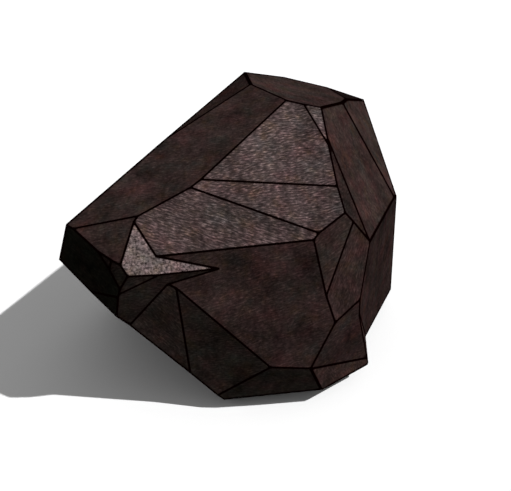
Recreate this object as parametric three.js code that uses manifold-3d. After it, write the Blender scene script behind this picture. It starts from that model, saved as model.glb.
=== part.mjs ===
// A boulder of dark, fine-grained stone, broken into flat fracture faces.
// Millimetres, +Z up. -Y is the front, +X the right-hand side as seen from the front.
//
// A natural boulder is one solid. Rock of this kind parts along flat planes, so the stone is made
// the same way here: five blocks are split along named planes and joined into one body. Where two
// blocks meet, the stone has a valley: under the ledge, beside the throat and at the ridge chip.

import * as THREE from 'three';
import { mergeVertices } from 'three/addons/utils/BufferGeometryUtils.js';
import Module from 'manifold-3d';

const wasm = await Module();
wasm.setup();

// ---------------------------------------------------------------------------------------------
// Driving dimensions. A fracture face is given by three values:
//   bearing  which way the face looks, in degrees from the front, positive to the right
//   lean     how far it is tipped up to the sky, in degrees (0 upright, 90 level, below 0 undercut)
//   reach    how far it lies from the heart of the stone, in mm
// ---------------------------------------------------------------------------------------------
const rawBlock = 2600; // edge of the block before it is split, mm
const bedDepth = 423; // how far the bed that the stone lies on is below its heart, mm
const toeRoot = { size: [500, 560, 420], middle: [300, -120, -220] }; // raw block of the toe, mm
const lobeRoot = { size: [820, 700, 700], middle: [-460, -200, -100] }; // raw block of the lobe, mm

// Top of the stone.
const crown = { bearing: 117.5, lean: 75, reach: 450 };
const crownChip = { bearing: 115.5, lean: 65.5, reach: 495 };
const leftRoof = { bearing: -94.5, lean: 64.5, reach: 394 };
const leftSlope = { bearing: -36, lean: 68, reach: 355 };

// Upper front: three broad slopes that end at the shoulder ridge.
const upperSlope = { bearing: 16.5, lean: 51, reach: 326 };
const middleSlope = { bearing: 15, lean: 45.5, reach: 322 };
const lowerSlope = { bearing: 9.5, lean: 37, reach: 323 };
const chipBesideCrown = { bearing: 29.5, lean: 52.5, reach: 358 };

// Right shoulder: long narrow faces that run from the crown down to the right corner.
const innerBand = { bearing: 67.25, lean: 35, reach: 389.5 };
const middleBand = { bearing: 70.5, lean: 34, reach: 390 };
const outerBand = { bearing: 80.5, lean: 33, reach: 428 };
const rightWall = { bearing: 69, lean: 0, reach: 413 };

// Front below the shoulder ridge.
const frontWall = { bearing: 10, lean: 13, reach: 325 };
const ridgeChip = { bearing: 30.5, lean: 16, reach: 359.5 };
const cornerFace = { bearing: 28, lean: 17.5, reach: 353.5 };
const footFace = { bearing: 38, lean: -3.5, reach: 420 };
const toeFace = { bearing: 37, lean: -6.5, reach: 432 };
const toeSide = { bearing: 84.5, lean: 11, reach: 336.5 };
const keelLeft = { bearing: -8.5, lean: -5, reach: 380 };
const keelFront = { bearing: 5, lean: -20, reach: 437 };

// Left end: a blunt lobe that stands out from the front wall, with a pale ledge on top.
const endSlope = { bearing: -16.5, lean: 48.5, reach: 402 };
const ledge = { bearing: 21, lean: 41, reach: 269 };
const lobeBrow = { bearing: 14, lean: -12.5, reach: 289 };
const lobeChin = { bearing: 16.5, lean: -17.5, reach: 261 };
const endFace = { bearing: -39.5, lean: 2, reach: 519 };
const endFaceLow = { bearing: -37.5, lean: -6, reach: 512 };
const endChip = { bearing: -30.5, lean: 11.5, reach: 514.5 };
const endChipInner = { bearing: -28, lean: 11, reach: 509 };
const throat = { bearing: -1, lean: -4.5, reach: 361 };

// Back and underside.
const endWall = { bearing: -99, lean: 19.5, reach: 475 };
const leftBack = { bearing: -110.5, lean: 45.5, reach: 385.5 };
const backLeft = { bearing: -123.5, lean: 27, reach: 359 };
const backLeftBelly = { bearing: -120, lean: 20, reach: 408 };
const backLeftFoot = { bearing: -116, lean: 9, reach: 478 };
const backRoof = { bearing: -168, lean: 48, reach: 536 };
const backRoofRight = { bearing: 168.5, lean: 37, reach: 574 };
const backShoulder = { bearing: -166.5, lean: 37.5, reach: 475 };
const backCorner = { bearing: -145, lean: 14, reach: 540 };
const backWall = { bearing: 176, lean: 8, reach: 560 };
const backBand = { bearing: -134, lean: 21, reach: 430 };
const backSpall = { bearing: -150, lean: 33, reach: 488 };
const backRidge = { bearing: -172, lean: 24, reach: 554 };
const backKnee = { bearing: -163, lean: 12, reach: 560 };
const backHeel = { bearing: -170, lean: -26, reach: 735 };
const backToe = { bearing: -130, lean: -14, reach: 688 };
const backSplit = { bearing: 163, lean: -2, reach: 598 };
const backFoot = { bearing: 150, lean: -12, reach: 600 };
const backFootChip = { bearing: 140, lean: -32, reach: 680 };
const backEdgeChip = { bearing: 128, lean: -6, reach: 628 };
const outerHeel = { bearing: 98, lean: 9, reach: 521 };
const rightBack = { bearing: 94.5, lean: 4.5, reach: 516 };
const rightHeel = { bearing: 62, lean: -38, reach: 501 };
const toeHeel = { bearing: 104, lean: -10, reach: 390 };
const overhang = { bearing: -60, lean: -39, reach: 414 };
const frontUnder = { bearing: 19.5, lean: -73, reach: 458 };
const toeUnder = { bearing: 41, lean: -64.5, reach: 500 };
const bed = { bearing: 0, lean: -90, reach: bedDepth };

// The faces that bound each block, in the order in which they split it. A face that only some of
// the blocks have ends at a valley.
const sharedFaces = [crown, crownChip, leftRoof, leftSlope, upperSlope, middleSlope, lowerSlope,
  chipBesideCrown, innerBand, middleBand, outerBand, rightWall, frontWall, footFace, toeFace,
  keelFront, endSlope, endFace, endFaceLow, endChip, endChipInner, endWall, leftBack, backLeft,
  backLeftBelly, backLeftFoot, backCorner, backWall, backBand, backSpall, backRidge, backKnee,
  backHeel, backToe, backSplit, backFoot, backFootChip, backEdgeChip, outerHeel, rightBack,
  rightHeel, overhang, frontUnder, toeUnder, bed];
const mainBlock = [...sharedFaces, backRoof, backRoofRight, keelLeft, cornerFace];
const throatBlock = [...sharedFaces, backRoof, backRoofRight, throat, cornerFace];
const shoulderBlock = [...sharedFaces, backShoulder, keelLeft, ridgeChip];
const toeBlock = [frontWall, cornerFace, footFace, toeFace, toeSide, keelLeft, keelFront, toeHeel,
  frontUnder, toeUnder, bed];
const lobeBlock = [leftRoof, leftSlope, endSlope, ledge, lobeBrow, lobeChin, endFace, endFaceLow,
  endChip, endChipInner, endWall, leftBack, backLeft, backLeftBelly, backLeftFoot, overhang,
  frontUnder, bed];

// ---------------------------------------------------------------------------------------------
// Splitting and joining.
// ---------------------------------------------------------------------------------------------

// A closed three.js geometry as a solid that can be joined and cut.
function toSolid(geometry) {
  const bare = geometry.clone();
  bare.deleteAttribute('normal');
  bare.deleteAttribute('uv');
  const merged = mergeVertices(bare, 1e-4);
  const vertProperties = new Float32Array(merged.attributes.position.array);
  const triVerts = new Uint32Array(merged.index.array);
  return new wasm.Manifold(new wasm.Mesh({ numProp: 3, vertProperties, triVerts }));
}

// The way a fracture face looks, as a unit vector.
function facing({ bearing, lean }) {
  const turn = THREE.MathUtils.degToRad(bearing);
  const tip = THREE.MathUtils.degToRad(lean);
  return new THREE.Vector3(
    Math.sin(turn) * Math.cos(tip),
    -Math.cos(turn) * Math.cos(tip),
    Math.sin(tip),
  );
}

// The rock that falls away beyond a fracture face: a block with one side on the face.
function waste(face) {
  const outward = facing(face);
  const block = new THREE.BoxGeometry(2 * rawBlock, 2 * rawBlock, rawBlock);
  const turn = new THREE.Quaternion().setFromUnitVectors(new THREE.Vector3(0, 0, 1), outward);
  block.applyQuaternion(turn);
  const middle = outward.multiplyScalar(face.reach + rawBlock / 2);
  block.translate(middle.x, middle.y, middle.z);
  return toSolid(block);
}

// A raw block split along a list of faces: what is left is the rock inside all of them.
function split(faces, block = new THREE.BoxGeometry(rawBlock, rawBlock, rawBlock)) {
  let rock = toSolid(block);
  for (const face of faces) {
    rock = rock.subtract(waste(face));
  }
  return rock;
}

// A solid as a three.js geometry with flat-shaded faces.
function toGeometry(solid) {
  const mesh = solid.getMesh();
  const indexed = new THREE.BufferGeometry();
  indexed.setAttribute('position', new THREE.BufferAttribute(mesh.vertProperties, 3));
  indexed.setIndex(new THREE.BufferAttribute(mesh.triVerts, 1));
  return indexed;
}

// The toe and the lobe are split from short raw blocks, because only their ends stand out of the
// main block.
function shortBlock({ size, middle }) {
  const block = new THREE.BoxGeometry(...size);
  block.translate(...middle);
  return block;
}

const stone = split(mainBlock)
  .add(split(throatBlock))
  .add(split(shoulderBlock))
  .add(split(toeBlock, shortBlock(toeRoot)))
  .add(split(lobeBlock, shortBlock(lobeRoot)));
const geometry = toGeometry(stone);

// ---------------------------------------------------------------------------------------------
// The part: the origin is under the middle of the stone, on the ground that it lies on.
// ---------------------------------------------------------------------------------------------
const darkStone = new THREE.MeshStandardMaterial({
  name: 'dark fine-grained stone',
  color: 0x5a4a46,
  roughness: 0.92,
  metalness: 0,
  flatShading: true,
});

const boulder = new THREE.Mesh(geometry, darkStone);
boulder.name = 'boulder';
geometry.computeBoundingBox();
const { min, max } = geometry.boundingBox;
boulder.position.set(-(min.x + max.x) / 2, -(min.y + max.y) / 2, -min.z);

const group = new THREE.Group();
group.name = 'boulder_part';
group.add(boulder);

export default group;
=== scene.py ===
# %% [markdown]
# # A boulder of dark, fine-grained stone
#
# A boulder is one piece of rock. Stone of this kind has no visible layers, so it parts along flat
# fracture planes, and what is left is a block with some sixty flat faces that meet in sharp
# edges, called arrises. The imported solid already has every one of those faces at its real place.
# This lesson gives them the skin of the real stone: a granular surface, thin dark arrises, and
# faces whose tone paints the light and shade on them, paler where they look up and darker below.

import itertools
import math

import bmesh
import bpy
import numpy as np
from mathutils.geometry import delaunay_2d_cdt
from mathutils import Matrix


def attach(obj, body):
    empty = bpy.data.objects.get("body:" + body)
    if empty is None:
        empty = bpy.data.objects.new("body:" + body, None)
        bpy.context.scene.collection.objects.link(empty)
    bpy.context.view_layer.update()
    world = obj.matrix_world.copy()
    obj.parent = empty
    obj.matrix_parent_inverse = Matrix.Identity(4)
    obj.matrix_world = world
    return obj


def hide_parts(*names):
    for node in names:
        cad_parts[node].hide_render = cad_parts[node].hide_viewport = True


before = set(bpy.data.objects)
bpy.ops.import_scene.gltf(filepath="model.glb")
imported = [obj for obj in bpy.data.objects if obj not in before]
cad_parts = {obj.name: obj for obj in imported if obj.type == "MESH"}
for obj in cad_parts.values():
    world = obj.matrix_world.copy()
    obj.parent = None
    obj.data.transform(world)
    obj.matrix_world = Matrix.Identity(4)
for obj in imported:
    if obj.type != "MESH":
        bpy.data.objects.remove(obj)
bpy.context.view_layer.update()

# %% [markdown]
# ## Camera
#
# A big stone is best seen from the front and from head height, so that its roof, its front wall
# and its undercut foot all show. A camera that looks 30 degrees down does that. Its tilt is the
# only turn it has: it looks straight along +Y, so left and right stay left and right.

# %% Camera
camera_place = (0.0406, -2.2623, 1.6279)  # where the lens is, metres
camera_dip = math.radians(30)             # how far it looks down
lens_mm, sensor_mm = 54.85, 36.0

camera_data = bpy.data.cameras.new("camera")
camera_data.lens = lens_mm
camera_data.sensor_width = sensor_mm
camera_data.sensor_fit = 'HORIZONTAL'
camera = bpy.data.objects.new("camera", camera_data)
camera.location = camera_place
camera.rotation_euler = (math.pi / 2 - camera_dip, 0, 0)
bpy.context.scene.collection.objects.link(camera)
bpy.context.scene.camera = camera
bpy.context.scene.view_settings.view_transform = 'Standard'
print("camera height", camera_place[2], "m")

# %% [markdown]
# ## The faces of the stone
#
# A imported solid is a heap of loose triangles. Merging their shared corners and dissolving the
# edges between triangles that lie in one plane gives back the flat faces. This is done on a copy,
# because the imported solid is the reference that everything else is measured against.

# %% Flat faces from the solid
flat_within = math.radians(0.3)  # triangles that turn less than this are one face
same_place = 2e-5                # corners closer than this are one corner, metres


def read(items, name, width=1, kind=float):
    """One property of every vertex, edge, loop or face of a mesh, as one array."""
    values = np.zeros(len(items) * width, kind)
    items.foreach_get(name, values)
    return values.reshape(-1, width) if width > 1 else values


solid = bmesh.new()
solid.from_mesh(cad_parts["boulder"].data)
bmesh.ops.remove_doubles(solid, verts=solid.verts, dist=same_place)
bmesh.ops.dissolve_limit(solid, angle_limit=flat_within, verts=solid.verts, edges=solid.edges)
flat = bpy.data.meshes.new("flat_faces")
solid.to_mesh(flat)
solid.free()
corners = read(flat.vertices, "co", 3)
normals = read(flat.polygons, "normal", 3)
ends = np.unique(np.sort(read(flat.edges, "vertices", 2, np.int32), axis=1), axis=0).tolist()
first_loops = read(flat.polygons, "loop_start", 1, np.int32)[1:]
loops = [loop.tolist() for loop in np.split(read(flat.loops, "vertex_index", 1, np.int32), first_loops)]
area = read(flat.polygons, "area").sum()
bpy.data.meshes.remove(flat)
print(len(loops), "faces,", len(ends), "arrises,", round(float(area), 2), "square metres")

# %% [markdown]
# ## Names for the faces
#
# The finish differs from face to face, so the faces need names. Their numbers could be read off
# the mesh, but a number changes whenever the solid does. The way a face looks doesn't, so each
# name stands for a direction, and a face has that name if its normal agrees with it.

# %% Faces that are finished on their own
named_faces = {  # bearing from the front, positive to the right, and lean up from level, degrees
    "crown": (117.5, 75),
    "crown chip": (115.5, 65.5),
    "left roof": (-94.5, 64.5),
    "left slope": (-36, 68),
    "end slope": (-16.5, 48.5),
    "upper slope": (16.5, 51),
    "middle slope": (15, 45.5),
    "lower slope": (9.5, 37),
    "chip beside the crown": (29.5, 52.5),
    "ledge": (21, 41),
    "inner band": (67.25, 35),
    "middle band": (70.5, 34),
    "outer band": (80.5, 33),
    "right wall": (69, 0),
    "front wall": (10, 13),
    "shoulder chip": (30.5, 16),
    "corner face": (28, 17.5),
    "foot": (38, -3.5),
    "toe": (37, -6.5),
    "keel": (-8.5, -5),
    "keel front": (5, -20),
    "throat": (-1, -4.5),
    "lobe chin": (16.5, -17.5),
    "end face": (-39.5, 2),
    "low end face": (-37.5, -6),
    "end chip": (-30.5, 11.5),
    "inner end chip": (-28, 11),
    "left back": (-110.5, 45.5),
    "end wall": (-99, 19.5),
    "back roof": (-168, 48),
    "right back roof": (168.5, 37),
    "outer heel": (98, 9),
    "right back": (94.5, 4.5),
    "right heel": (62, -38),
    "overhang": (-60, -39),
    "front underside": (19.5, -73),
    "toe underside": (41, -64.5),
}
same_face = math.cos(math.radians(0.5))


def facing(name):
    """True for the faces that look along a named direction: their normal is within half a degree
    of (sin bearing x cos lean, -cos bearing x cos lean, sin lean)."""
    b, l = np.radians(named_faces[name])
    return normals @ (math.sin(b) * math.cos(l), -math.cos(b) * math.cos(l), math.sin(l)) > same_face


print({name: int(facing(name).sum()) for name in named_faces})

# %% [markdown]
# ## A grid on each face
#
# The granular skin needs points less than a centimetre apart, yet the arrises have to stay dead
# straight. Subdividing long triangles would give needles, and a voxel remesh would round the
# arrises off. So each arris is divided once into equal steps that both of its faces share, each
# face is filled with rows of points beside its arrises and a grid of equilateral triangles inside
# them, and a Delaunay triangulation joins them all.

# %% Points along the arrises
grid_step = 0.0072   # spacing of the points, two to a cluster of grains, metres
bed_step = 0.03      # coarser where the stone lies on the ground and nobody sees it, metres
line_width = 0.0042  # how far the dark dirt along a clean arris reaches onto each face, metres

arris_points = [corners]
along = {}
count = len(corners)
for a, b in ends:
    steps = max(1, round(float(np.linalg.norm(corners[b] - corners[a])) / grid_step))
    share = np.arange(1, steps)[:, None] / steps
    arris_points.append(corners[a] * (1 - share) + corners[b] * share)
    along[a, b] = list(range(count, count + steps - 1))
    count += steps - 1
arris_points = np.concatenate(arris_points)
bed_face = int(np.argmin(normals[:, 2]))
print(count, "points on corners and arrises; the bed faces", normals[bed_face].round(3))


# %% Helpers for a grid inside a face
def to_edges(p, ring, share=1.0):
    """Distance of each point from the outline: the least distance to any of its straight edges,
    where the foot of the perpendicular is kept between the two ends of the edge. The distance to
    an edge is divided by its share, so that an edge with share 2 seems half as far."""
    a, b = ring, np.roll(ring, -1, axis=0)
    run = b - a
    t = ((p[:, None] - a) * run).sum(2) / (run * run).sum(1)
    foot = a + run * np.clip(t, 0, 1)[..., None]
    return (np.linalg.norm(p[:, None] - foot, axis=2) / share).min(1)


def inside(p, ring):
    """True where a ray to the right crosses the outline an odd number of times."""
    a, b = ring, np.roll(ring, -1, axis=0)
    rises = (a[:, 1] > p[:, 1:]) != (b[:, 1] > p[:, 1:])
    with np.errstate(divide="ignore", invalid="ignore"):
        cross = a[:, 0] + (p[:, 1:] - a[:, 1]) * (b - a)[:, 0] / (b - a)[:, 1]
    return (rises & (p[:, :1] < cross)).sum(1) % 2 == 1


def triangle_grid(low, high, step):
    """Rows of points: every other row is shifted half a step, and rows are step x sin 60 apart."""
    rows = np.arange(low[1], high[1], step * math.sin(math.pi / 3))
    cols = np.arange(low[0] - step, high[0], step)
    u = cols[None, :] + step / 2 * (np.arange(len(rows)) % 2)[:, None]
    v = np.broadcast_to(rows[:, None], u.shape)
    return np.stack([u.ravel(), v.ravel()], axis=1)


def rows_along(ring, step, offset):
    """Points beside each straight edge of an anticlockwise outline, offset metres into the face:
    the edge is divided into equal steps and moved along its own left-hand perpendicular."""
    rows = []
    for a, b in zip(ring, np.roll(ring, -1, axis=0)):
        length = np.linalg.norm(b - a)
        share = np.linspace(0, 1, max(2, round(length / step) + 1))[:, None]
        left = np.array((a[1] - b[1], b[0] - a[0])) / length
        rows.append(a + (b - a) * share + left * offset)
    return np.concatenate(rows)


level_within = 1e-3  # a face counts as level if the sine of its slope is less than this


def face_axes(normal):
    """Two directions in a face: level across it, which is the cross product of straight up and
    the normal, and straight up its slope. On a level face, level is taken along +X."""
    level = np.cross((0, 0, 1), normal)
    length = np.linalg.norm(level)
    level = level / length if length > level_within else np.array((1.0, 0.0, 0.0))
    return level, np.cross(normal, level)


print("a grid row is", round(1000 * grid_step * math.sin(math.pi / 3), 2), "mm from the next")

# %% [markdown]
# ## How wide the dark line along each arris is
#
# Dirt and a thin dark film stay along the arrises, so that every face has a dark outline a few
# millimetres wide. Modelled grooves would break the arrises, and a Bevel node would darken them
# only in some renderers. So each point of the grid carries its distance from the nearest arris.
# The rain keeps the bright slopes in front clean. The roof, the crown and the side faces are
# dirtier, and the line is widest round the outside of the stone, where the water drips off.

# %% Wide lines
wide_on = {  # all round this face: how many times line_width
    "crown": 2.2, "crown chip": 1.5, "left roof": 2.0,
    "inner band": 1.6, "middle band": 2.0, "outer band": 2.3, "right wall": 1.7,
    "end face": 1.4, "foot": 1.4, "toe": 1.3, "keel front": 1.7,
}
wide_at = {  # on the first face, only where it meets the second
    ("upper slope", "crown"): 1.5, ("middle band", "outer band"): 2.6,
    ("outer band", "middle band"): 2.8,
    ("left slope", "left back"): 2.1, ("left roof", "left back"): 3.2,
    ("crown", "back roof"): 3.2, ("crown", "right back roof"): 3.2,
    ("outer band", "outer heel"): 3.4, ("right wall", "right back"): 3.2,
    ("right wall", "right heel"): 2.8, ("toe", "toe underside"): 2.5,
    ("keel front", "front underside"): 2.5, ("keel", "overhang"): 1.9,
    ("throat", "overhang"): 1.8, ("lobe chin", "overhang"): 2.1, ("end face", "overhang"): 2.4,
    ("low end face", "overhang"): 2.4, ("end face", "end wall"): 2.4,
}

face_share = np.ones(len(loops))
for name, share in wide_on.items():
    face_share[facing(name)] = share
pair_share = {(int(here), int(there)): share for (name, other), share in wide_at.items()
              for here in np.flatnonzero(facing(name)) for there in np.flatnonzero(facing(other))}
meeting = {}
for number, loop in enumerate(loops):
    for a, b in zip(loop, loop[1:] + loop[:1]):
        meeting.setdefault((min(a, b), max(a, b)), []).append(number)


def line_shares(number, loop):
    """How wide the line is at each edge of a face, in line widths: the face's own share, or that
    of the two faces that meet there if it is more."""
    others = [sum(meeting[min(a, b), max(a, b)]) - number for a, b in zip(loop, loop[1:] + loop[:1])]
    return np.array([max(face_share[number], pair_share.get((number, other), 1)) for other in others])


widest = max(wide_at.values())
print("dark lines are from", 1000 * line_width, "to", round(1000 * widest * line_width, 1), "mm wide")

# %% Fill every face
grid_clear = 0.4           # the grid keeps this many steps away from the rows beside an arris
slack = 0.01 * line_width  # a row still counts as clear of its own arris, metres
decimals = 6               # the fill is rounded to micrometres, so that doubled points drop out
same_point = 1e-9          # points closer than this are one point in the triangulation, metres

skin_points, skin_face = [arris_points], [np.full(count, -1)]
skin_away, skin_dirt = [np.zeros(count)], [np.zeros(count)]
triangles, triangle_face = [], []
total = count
for number, (loop, normal) in enumerate(zip(loops, normals)):
    plane = np.stack(face_axes(normal), axis=1)
    ring = corners[loop] @ plane
    outline = []
    for a, b in zip(loop, loop[1:] + loop[:1]):
        run = along[min(a, b), max(a, b)]
        outline += [a] + (run if a < b else run[::-1])
    step = bed_step if number == bed_face else grid_step
    fill = []  # two rows beside every arris, then the grid inside them, each with its clearance
    for more, clear in ((rows_along(ring, step, line_width / 2), line_width / 2),
                        (rows_along(ring, step, line_width), line_width),
                        (triangle_grid(ring.min(0), ring.max(0), step), line_width + grid_clear * step)):
        more = more[inside(more, ring)]
        fill.append(more[to_edges(more, ring) > clear - slack])
    fill = np.unique(np.concatenate(fill).round(decimals), axis=0)
    spread = np.concatenate([arris_points[outline] @ plane, fill])
    rim = np.arange(len(outline))
    rim_edges = np.stack([rim, np.roll(rim, -1)], axis=1)
    made = delaunay_2d_cdt(spread.tolist(), rim_edges.tolist(), [], 1, same_point)
    made_triangles, made_from = np.array(made[2]), np.array(list(map(min, made[3])))
    point_numbers = np.concatenate([outline, np.arange(total, total + len(fill))]).astype(int)
    triangles.append(point_numbers[made_from[made_triangles]])
    triangle_face.append(np.full(len(made_triangles), number))
    skin_points.append(fill @ plane.T + normal * (corners[loop[0]] @ normal))
    skin_face.append(np.full(len(fill), number))
    skin_away.append(to_edges(fill, ring))
    skin_dirt.append(to_edges(fill, ring, line_shares(number, loop)))
    total += len(fill)
points, point_face = np.concatenate(skin_points), np.concatenate(skin_face)
away, arris_distance = np.concatenate(skin_away), np.concatenate(skin_dirt)
triangles, triangle_face = np.concatenate(triangles), np.concatenate(triangle_face)
print(len(points), "points and", len(triangles), "triangles")

# %% [markdown]
# ## Granular relief
#
# A fresh fracture in fine-grained stone is flat but never smooth: grains stand out of it or have
# dropped out, and it is hollowed a little where the crack wandered. A Displace modifier could do
# this, but it would move the arrises too. So the heights are worked out here: random heights at
# the corners of a lattice, blended smoothly, at two sizes. They only go inwards from the flat face
# and fade out towards the arris, so the stone keeps its size and its sharp edges.


# %% Relief
height_count = 4096  # random heights that are shared out over the lattice
scatter = (73856093, 19349663, 83492791)  # large primes: neighbours get heights far apart in the list


def lumps(p, size, seed):
    """Random heights from 0 to 1 at the corners of cubes of the given size. A point's height is
    the sum of its cube's eight corner heights, each times a weight that falls from 1 at that
    corner to 0 at the others along a smooth s-curve, 3 t squared minus 2 t cubed."""
    heights = np.random.default_rng(seed).random(height_count)
    cube = np.floor(p / size).astype(np.int64)
    t = p / size - cube
    t = t * t * (3 - 2 * t)
    height = np.zeros(len(p))
    for corner in itertools.product((0, 1), repeat=3):
        key = ((cube + corner) * scatter).sum(1) % height_count
        height += heights[key] * np.where(corner, t, 1 - t).prod(1)
    return height


def fade_in(reach):
    """0 along the dark line beside an arris, 1 where a point is reach metres further from the
    arris, and between them the same s-curve."""
    t = np.clip((away - line_width) / reach, 0, 1)
    return t * t * (3 - 2 * t)


# How wide and how deep a cluster of grains and a hollow are, and over what distance from the dark
# line they fade in, metres.
grain_size, grain_depth, grain_reach = 0.0144, 0.0016, 0.010
hollow_size, hollow_depth, hollow_reach = 0.085, 0.0030, 0.045

depth = grain_depth * lumps(points, grain_size, seed=11) * fade_in(grain_reach)
depth += hollow_depth * lumps(points, hollow_size, seed=12) * fade_in(hollow_reach)
depth[(point_face < 0) | (point_face == bed_face)] = 0
points = points - normals[point_face] * depth[:, None]
print("deepest relief", round(1000 * float(depth.max()), 2), "mm")

# %% [markdown]
# ## Painted light and shade on each face
#
# Each face has one tone, and that tone paints the light and shade on it: a face that looks at the
# sky is painted paler than one that hangs over. This could be painted on by hand, but a rule keeps
# the back and the sides in step with the front. So each face gets a number, its painted light: 0 is
# painted deep shade, nearly black, 1 is painted full light. It follows from how far the face looks
# up, and faces that are painted apart from the rule are named with their number.

# %% Painted light and shade of each face
own_painted_light = {
    "ledge": 0.97, "chip beside the crown": 0.89,  # painted in the fullest light
    "upper slope": 0.80, "middle slope": 0.78, "lower slope": 0.76,  # painted well lit
    "toe": 0.58, "shoulder chip": 0.61, "end slope": 0.62, "outer band": 0.625,  # painted fairly light
    "left roof": 0.53, "inner band": 0.53, "foot": 0.43,  # painted in mid shade
    "right wall": 0.34, "inner end chip": 0.31, "end chip": 0.28, "keel front": 0.27,
    "crown chip": 0.14,  # a thin chip painted dark
    "end face": 0.0, "low end face": 0.0,  # painted deep shade, nearly black
}
looks_up = (-1.00, -0.35, -0.20, -0.08, 0.20, 0.60, 1.00)  # sine of the lean of a face
painted_light_there = (0.00, 0.24, 0.33, 0.38, 0.50, 0.63, 0.64)
# painted light and shade: faces that look up are painted paler, faces that hang over darker
painted_light = np.interp(normals[:, 2], looks_up, painted_light_there)
for name, value in own_painted_light.items():
    painted_light[facing(name)] = value
print("patina from", painted_light.min(), "to", painted_light.max(), "with a mean of", round(float(painted_light.mean()), 2))

# %% [markdown]
# ## A greenish tint and the grain of a face
#
# Two more things differ from face to face. A greenish tint lies on the faces that the sun hardly
# reaches, which the cosine of the angle between the face and the sun tells: the dot product of their
# directions. And the crushed streaks on a face run one way, because one crack went through it. On
# a face that isn't listed, as on most of the back, that way is random.

# %% Greenish tint on faces that the sun hardly reaches
towards_sun = np.array((0.85, -0.25, 1.0))
towards_sun /= np.linalg.norm(towards_sun)
full_tint, no_tint = 0.06, 0.36  # cosines at which the tint is full, and at which it is gone
# a greenish tint, fuller the less the face turns towards the sun lamp
tint_away_from_sun = np.clip((no_tint - normals @ towards_sun) / (no_tint - full_tint), 0, 1)
print(int((tint_away_from_sun > 0.5).sum()), "faces carry the greenish film")

# %% Direction of the grain on each face
grain_tilts = {  # how far the streaks are turned up from level, degrees
    "crown": -10, "left slope": 32, "end slope": 18, "upper slope": 3, "middle slope": 0,
    "lower slope": -20, "ledge": 2, "middle band": 80, "outer band": 80, "right wall": 80,
    "front wall": 12, "shoulder chip": 18, "corner face": 60, "foot": 6, "toe": -60, "keel": 17,
    "keel front": -6, "throat": -49, "lobe chin": -12,
}
widest_tilt = 40  # on the other faces, to either side
tilt = np.random.default_rng(seed=7).uniform(-widest_tilt, widest_tilt, len(normals))
for name, degrees in grain_tilts.items():
    tilt[facing(name)] = degrees
print("grain tilts from", round(float(tilt.min())), "to", round(float(tilt.max())), "degrees")

# %% [markdown]
# ## The skin as a mesh
#
# The mesh carries what the finish needs: how far each point is from an arris, made less where the
# dark line is wide, the painted light level and the greenish tint of each face, and a UV map in
# metres whose U runs along the grain of the face. Unwrapping could give a map too, but not one that
# knows the grain. The triangles are shaded smooth inside a face, and every edge between two faces is
# marked sharp.

# %% Build the mesh
mesh = bpy.data.meshes.new("boulder_skin")
mesh.from_pydata(points.tolist(), [], triangles.tolist())
mesh.polygons.foreach_set("use_smooth", np.ones(len(triangles), bool))
for name, domain, values in (("arris_distance", 'POINT', arris_distance),
                             # the painted light level and the greenish tint go onto every triangle of
                             # their face
                             ("painted_light", 'FACE', painted_light[triangle_face]),
                             ("tint_away_from_sun", 'FACE', tint_away_from_sun[triangle_face])):
    mesh.attributes.new(name, 'FLOAT', domain).data.foreach_set("value", values)
first, second, third = points[triangles].transpose(1, 0, 2)
volume = (first * np.cross(second, third)).sum() / 6  # of the pyramids from the origin to them all
print(len(triangles), "triangles round", round(float(volume), 3), "cubic metres")


# %% Sharp arrises
def edge_key(ends_of_edge):
    """One number for the two ends of an edge, the same whichever way round they are."""
    low_high = np.sort(ends_of_edge, axis=1).astype(np.int64)
    return low_high[:, 0] * len(points) + low_high[:, 1]


sides = edge_key(np.concatenate([triangles[:, [0, 1]], triangles[:, [1, 2]], triangles[:, [2, 0]]]))
order = np.argsort(sides, kind='stable')
key_pairs = sides[order].reshape(-1, 2)
owner_pairs = np.tile(triangle_face, 3)[order].reshape(-1, 2)
arris_keys = key_pairs[owner_pairs[:, 0] != owner_pairs[:, 1], 0]
sharp = np.isin(edge_key(read(mesh.edges, "vertices", 2, np.int32)), arris_keys)
mesh.attributes.new("sharp_edge", 'BOOLEAN', 'EDGE').data.foreach_set("value", sharp)
print("every edge has two triangles:", bool((key_pairs[:, 0] == key_pairs[:, 1]).all()),
      "and", int(sharp.sum()), "edges lie on arrises")

# %% A map that runs with the grain
axes = np.array([np.stack(face_axes(n), axis=1) for n in normals])
corner_face = np.repeat(triangle_face, 3)
flat_uv = np.einsum('ni,nij->nj', points[triangles.ravel()], axes[corner_face])
turn = np.radians(tilt)[corner_face]
uv = np.stack([flat_uv[:, 0] * np.cos(turn) + flat_uv[:, 1] * np.sin(turn),
               flat_uv[:, 1] * np.cos(turn) - flat_uv[:, 0] * np.sin(turn)], axis=1)
mesh.uv_layers.new(name="grain").uv.foreach_set("vector", uv.ravel())
mesh.validate()
stone = bpy.data.objects.new("boulder_skin", mesh)
bpy.context.scene.collection.objects.link(stone)
print("the map spans", (uv.max(0) - uv.min(0)).round(2), "metres")

# %% [markdown]
# ## Finish: dark fine-grained stone
#
# The stone is like a basalt: dull, dark, brown from iron, with soft rusty and greenish patches a
# hand wide, and pale crushed streaks that show most on the faces painted light. A ready-made rock
# texture would repeat and stretch, so the finish is built from noise whose sizes start from those of
# the real grains, streaks and patches. First comes the tone of a face, which paints the light and shade
# on it, and each further layer multiplies that tone.


# %% Helpers for materials
def linear(hex_colour):
    """An sRGB hex colour as linear values: below 0.04045 a value is divided by 12.92, above it is
    ((value + 0.055) / 1.055) to the power 2.4."""
    s = [int(hex_colour[i:i + 2], 16) / 255 for i in (1, 3, 5)]
    return tuple(c / 12.92 if c <= 0.04045 else ((c + 0.055) / 1.055) ** 2.4 for c in s) + (1.0,)


def even(value):
    """A factor that is the same for red, green and blue."""
    return (value, value, value, 1.0)


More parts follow.
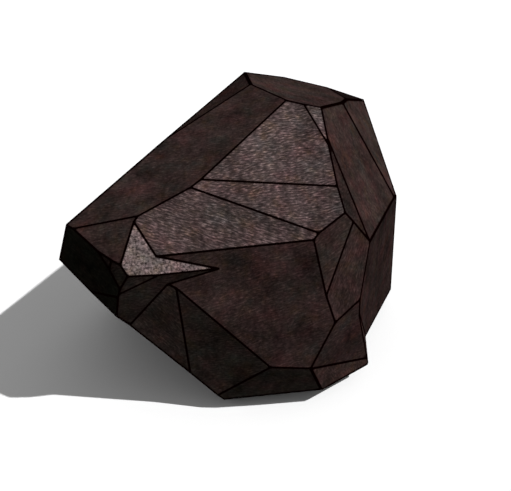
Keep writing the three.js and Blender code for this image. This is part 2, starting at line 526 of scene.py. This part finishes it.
def add(tree, kind, settings=None, inputs=None, stops=()):
    """Adds a node, sets its properties, and fills its inputs with a value or another's output.
    Stops are the (position, colour) pairs of a node that has a colour ramp."""
    node = tree.nodes.new(kind)
    for name, value in (settings or {}).items():
        setattr(node, name, value)
    for name, value in (inputs or {}).items():
        if isinstance(value, bpy.types.NodeSocket):
            tree.links.new(value, node.inputs[name])
        else:
            node.inputs[name].default_value = value
    for _ in stops[2:]:
        node.color_ramp.elements.new(0.5)
    for number, (position, colour) in enumerate(stops):
        node.color_ramp.elements[number].position = position
        node.color_ramp.elements[number].color = colour
    return node


# the stone's own brown, at the middle of the painted light and shade
middle_brown = "#231A19"
print("the weathered brown in linear values:", [round(c, 4) for c in linear(middle_brown)])

# %% Stone material: tone of a face, with its painted light and shade
# Basalt broken along natural joints. To the eye it is matt and mineral: each face has one tone,
# painted lighter or darker for its light and shade, with fine speckle in it, and no highlight moves over
# it.
face_tones = [  # painted light level and colour
    (0.00, "#0D0A08"),        # painted deep shade, nearly black
    (0.12, "#120D0C"),        # painted shade, under an overhang
    (0.30, "#1B1413"),
    (0.48, middle_brown),  # brown from iron
    (0.60, "#281E1C"),
    (0.80, "#403534"),        # painted light
    (1.00, "#5B504F"),        # painted full light
]
material = bpy.data.materials.new("dark_fine_grained_stone")
material.use_nodes = True
tree = material.node_tree
tree.nodes.clear()
# the painted light level of the face picks its tone from the face tones: painted shade dark, painted
# light pale
painted_light_value = add(tree, 'ShaderNodeAttribute', {"attribute_name": "painted_light"}).outputs["Fac"]
base = add(tree, 'ShaderNodeValToRGB', {}, {"Fac": painted_light_value},
           [(value, linear(colour)) for value, colour in face_tones]).outputs["Color"]
tint_away_value = add(tree, 'ShaderNodeAttribute', {"attribute_name": "tint_away_from_sun"}).outputs["Fac"]
greenish_tint = add(tree, 'ShaderNodeValToRGB', {}, {"Fac": tint_away_value}, [
    (0.0, even(1.0)),
    (1.0, (0.86, 1.03, 0.95, 1)),  # a little less red: the tint is greenish
]).outputs["Color"]
tinted_base = add(tree, 'ShaderNodeVectorMath', {"operation": 'MULTIPLY'}, {0: base, 1: greenish_tint}).outputs[0]
print(len(face_tones), "face tones, from", face_tones[0][1], "to", face_tones[-1][1])

# %% [markdown]
# ## Crushed streaks
#
# Where a crack runs through fine-grained stone it crushes grains into short pale streaks that
# follow it and wander a little. A wave texture would be too regular. Noise that is stretched along
# the grain of the face gives streaks, and bending the map with a second, wide noise first makes
# them wander. How strongly they show goes with the painted light of the face, as grain shows most in
# light. A Mix node takes its share at input 0 and its two colours at inputs 6 and 7, and gives the mixed
# colour at output 2.

# %% Stone material: crushed streaks
streak_width, streak_length = 0.0040, 0.018  # metres, twice the real ones so that they show
wander_size, wander = 0.07, 0.011            # over the first distance they swing by the second

grain_place = add(tree, 'ShaderNodeUVMap', {"uv_map": "grain"}).outputs["UV"]
swing = add(tree, 'ShaderNodeTexNoise', {}, {
    "Vector": grain_place, "Scale": 1 / wander_size, "Detail": 1.0}).outputs["Color"]
swung = add(tree, 'ShaderNodeVectorMath', {"operation": 'MULTIPLY_ADD'}, {
    0: swing, 1: (wander, wander, 0), 2: grain_place}).outputs[0]
streak_cells = add(tree, 'ShaderNodeMapping', {}, {
    "Vector": swung, "Scale": (1 / streak_length, 1 / streak_width, 1)}).outputs["Vector"]
streaks = add(tree, 'ShaderNodeTexNoise', {}, {
    "Vector": streak_cells, "Scale": 1.0, "Detail": 2.0, "Roughness": 0.55}).outputs["Fac"]
fleck = add(tree, 'ShaderNodeValToRGB', {}, {"Fac": streaks}, [
    (0.34, even(0.38)),  # a gap between streaks
    (0.46, even(0.66)),
    (0.54, even(1.05)),
    (0.62, even(1.95)),
    (0.72, even(3.20)),  # the middle of a streak
]).outputs["Color"]
fleck_share = add(tree, 'ShaderNodeValToRGB', {}, {"Fac": painted_light_value}, [
    (0.50, even(0.42)),
    (0.64, even(0.36)),  # faint where the face is painted in mid shade
    (0.76, even(0.85)),
    (0.88, even(0.85)),
    (0.96, even(0.30)),  # faint again on the face painted lightest
]).outputs["Color"]
streak_tone = add(tree, 'ShaderNodeMix', {"data_type": 'RGBA'},
                  {0: fleck_share, 6: even(1.0), 7: fleck}).outputs[2]
print("streaks", 1000 * streak_width, "mm wide and", 1000 * streak_length, "mm long")

# %% [markdown]
# ## Grains, patches and rust
#
# Close up, each grain is a little lighter or darker than the next. From a step away what shows is
# the crumb: soft darker and paler clouds, the widest a hand wide and each finer layer half as
# wide. Iron in the stone stains some of them rusty or ochre. All of these run through the rock and
# don't stop at an arris, so they are drawn in the space of the stone, not face by face.

# %% Stone material: grains and crumb
patch_width = 0.11   # the widest patches, metres
grain_width = 0.007  # metres; real grains are about a tenth of that and wouldn't show

place = add(tree, 'ShaderNodeTexCoord').outputs["Object"]
grains = add(tree, 'ShaderNodeTexNoise', {}, {
    "Vector": place, "Scale": 1 / grain_width, "Detail": 2.0, "Roughness": 0.6}).outputs["Fac"]
grain_swing = add(tree, 'ShaderNodeValToRGB', {}, {"Fac": painted_light_value}, [
    (0.50, even(1.4)),
    (0.64, even(1.2)),
    (0.85, even(1.2)),
    (0.96, even(4.4)),  # grain shows strongest on the face painted lightest
]).outputs["Color"]
grain_height = add(tree, 'ShaderNodeMath', {"operation": 'SUBTRACT'}, {0: grains, 1: 0.5}).outputs[0]
grain_tone = add(tree, 'ShaderNodeMath', {"operation": 'MULTIPLY_ADD'},
                 {0: grain_height, 1: grain_swing, 2: 1.0}).outputs[0]
crumb = add(tree, 'ShaderNodeTexNoise', {}, {
    "Vector": place, "Scale": 1 / patch_width, "Detail": 5.0, "Roughness": 0.78}).outputs["Fac"]
crumb_swing = 0.62  # where the noise is at 0.3 or 0.7, a face is darker or paler by this share
crumb_tone = add(tree, 'ShaderNodeMapRange', {"clamp": False}, {
    "Value": crumb, "From Min": 0.3, "From Max": 0.7,
    "To Min": 1 - crumb_swing, "To Max": 1 + crumb_swing}).outputs["Result"]
print("grains", 1000 * grain_width, "mm, patches up to", 1000 * patch_width, "mm")

# %% Stone material: rust and ochre
rust_width, ochre_width = 0.6 * patch_width, 0.37 * patch_width  # metres

rust = add(tree, 'ShaderNodeTexNoise', {}, {
    "Vector": place, "Scale": 1 / rust_width, "Detail": 4.0, "Roughness": 0.58}).outputs["Fac"]
hue = add(tree, 'ShaderNodeValToRGB', {}, {"Fac": rust}, [
    (0.34, (1.24, 0.97, 0.97, 1)),  # rusty
    (0.46, (1.04, 0.99, 0.98, 1)),
    (0.56, (0.98, 1.01, 0.96, 1)),
    (0.66, (0.84, 1.04, 1.00, 1)),  # grey-green
]).outputs["Color"]
ochre_noise = add(tree, 'ShaderNodeTexNoise', {}, {
    "Vector": place, "Scale": 1 / ochre_width, "Detail": 3.0, "Roughness": 0.6}).outputs["Fac"]
ochre = add(tree, 'ShaderNodeValToRGB', {}, {"Fac": ochre_noise}, [
    (0.40, (0.98, 0.99, 1.04, 1)),
    (0.55, even(1.0)),
    (0.70, (1.05, 1.00, 0.84, 1)),  # ochre
]).outputs["Color"]
hue_share = add(tree, 'ShaderNodeValToRGB', {}, {"Fac": painted_light_value}, [
    (0.64, even(1.0)),
    (0.78, even(0.6)),  # faces painted light are stained less
]).outputs["Color"]
stain = add(tree, 'ShaderNodeMix', {"data_type": 'RGBA'}, {0: hue_share, 6: even(1.0), 7: hue}).outputs[2]
toned = tinted_base
tints, shades = (stain, ochre, streak_tone), (grain_tone, crumb_tone)  # colours, and single numbers
for layer in tints:
    toned = add(tree, 'ShaderNodeVectorMath', {"operation": 'MULTIPLY'}, {0: toned, 1: layer}).outputs[0]
for layer in shades:
    toned = add(tree, 'ShaderNodeVectorMath', {"operation": 'SCALE'},
                {0: toned, "Scale": layer}).outputs[0]
print(len(tints) + len(shades), "layers multiply the tone of a face")

# %% [markdown]
# ## Dark arrises and dull surface
#
# The dark line covers the stone's own colours where the distance that the mesh carries is small.
# The surface has no gloss at all. The mesh holds the larger unevenness already, and the crumb also
# tips the surface a little, as grains do, down to sizes that are finer than the grid.

# %% Stone material: arrises, relief and gloss
line_core = 0.6         # the line is fully dark over this share of its width, then it fades
crumb_relief = 0.006    # height of the crumb in the bump, metres
dirt_black = "#040000"  # soot-dark dirt with a trace of iron red

from_arris = add(tree, 'ShaderNodeAttribute', {"attribute_name": "arris_distance"}).outputs["Fac"]
line = add(tree, 'ShaderNodeMapRange', {}, {
    "Value": from_arris, "From Min": line_core * line_width, "From Max": line_width,
    "To Min": 1.0, "To Max": 0.0}).outputs["Result"]
coloured = add(tree, 'ShaderNodeMix', {"data_type": 'RGBA'},
               {0: line, 6: toned, 7: linear(dirt_black)}).outputs[2]
bump = add(tree, 'ShaderNodeBump', {}, {
    "Height": crumb, "Strength": 0.35, "Distance": crumb_relief}).outputs["Normal"]
shader = add(tree, 'ShaderNodeBsdfPrincipled', {}, {
    "Base Color": coloured, "Roughness": 0.95, "Specular IOR Level": 0.0, "Normal": bump})
add(tree, 'ShaderNodeOutputMaterial', {}, {"Surface": shader.outputs["BSDF"]})
mesh.materials.append(material)
print(len(tree.nodes), "nodes in the stone's finish")

# %% Place the skin
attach(stone, "root")
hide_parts("boulder")
print("the skin stands in for the packed solid")

# %% [markdown]
# ## Floor and light
#
# The stone lies on a plain pale floor. One lamp stands for the sun, high on the right and a
# little to the front, so that the shadow falls to the left with a clear edge. Area lamps would
# give a softer shadow and lose the crisp step in tone from face to face. The room around is pale
# near the floor and dimmer overhead, which keeps the shadow deep.

# %% Floor
floor_half = 15.0  # half the width of the floor, metres
floor_tone = 0.86  # how much of the light it gives back

floor_mesh = bpy.data.meshes.new("floor")
floor_corners = floor_half * np.array([(-1, -1, 0), (1, -1, 0), (1, 1, 0), (-1, 1, 0)])
floor_mesh.from_pydata(floor_corners.tolist(), [], [(0, 1, 2, 3)])
floor = bpy.data.objects.new("floor", floor_mesh)
bpy.context.scene.collection.objects.link(floor)
floor_paint = bpy.data.materials.new("pale_studio_floor")  # matt paint, without gloss
floor_paint.use_nodes = True
floor_shader = floor_paint.node_tree.nodes["Principled BSDF"]
floor_shader.inputs["Base Color"].default_value = even(floor_tone)
floor_shader.inputs["Roughness"].default_value = 1.0
floor_shader.inputs["Specular IOR Level"].default_value = 0.0
floor_mesh.materials.append(floor_paint)
print("floor", 2 * floor_half, "metres wide")

# %% Sun
sun_data = bpy.data.lights.new("sun", 'SUN')
sun_data.energy = 4.0               # watts per square metre
sun_data.angle = math.radians(0.8)  # how wide the lamp seems: the edge of the shadow stays clear
sun = bpy.data.objects.new("sun", sun_data)
bearing = math.atan2(towards_sun[0], -towards_sun[1])
height = math.atan2(towards_sun[2], math.hypot(towards_sun[0], towards_sun[1]))
sun.rotation_euler = (math.pi / 2 - height, 0, bearing)
bpy.context.scene.collection.objects.link(sun)
print("sun from bearing", round(math.degrees(bearing), 1), "height", round(math.degrees(height), 1))

# %% The room around
room_glow = [  # sine of the height above the horizon, and how bright the room is there
    (0.00, 1.0),
    (0.07, 1.0),
    (0.20, 0.32),
]
world = bpy.data.worlds.new("studio")
world.use_nodes = True
bpy.context.scene.world = world
sky = world.node_tree
sky.nodes.clear()
direction = add(sky, 'ShaderNodeTexCoord').outputs["Generated"]
up = add(sky, 'ShaderNodeSeparateXYZ', {}, {"Vector": direction}).outputs["Z"]
glow = add(sky, 'ShaderNodeValToRGB', {}, {"Fac": up},
           [(sine, even(brightness)) for sine, brightness in room_glow]).outputs["Color"]
backdrop = add(sky, 'ShaderNodeBackground', {}, {"Color": glow, "Strength": 1.0})
add(sky, 'ShaderNodeOutputWorld', {}, {"Surface": backdrop.outputs["Background"]})
print("the room dims above", round(math.degrees(math.asin(room_glow[1][0]))), "degrees")
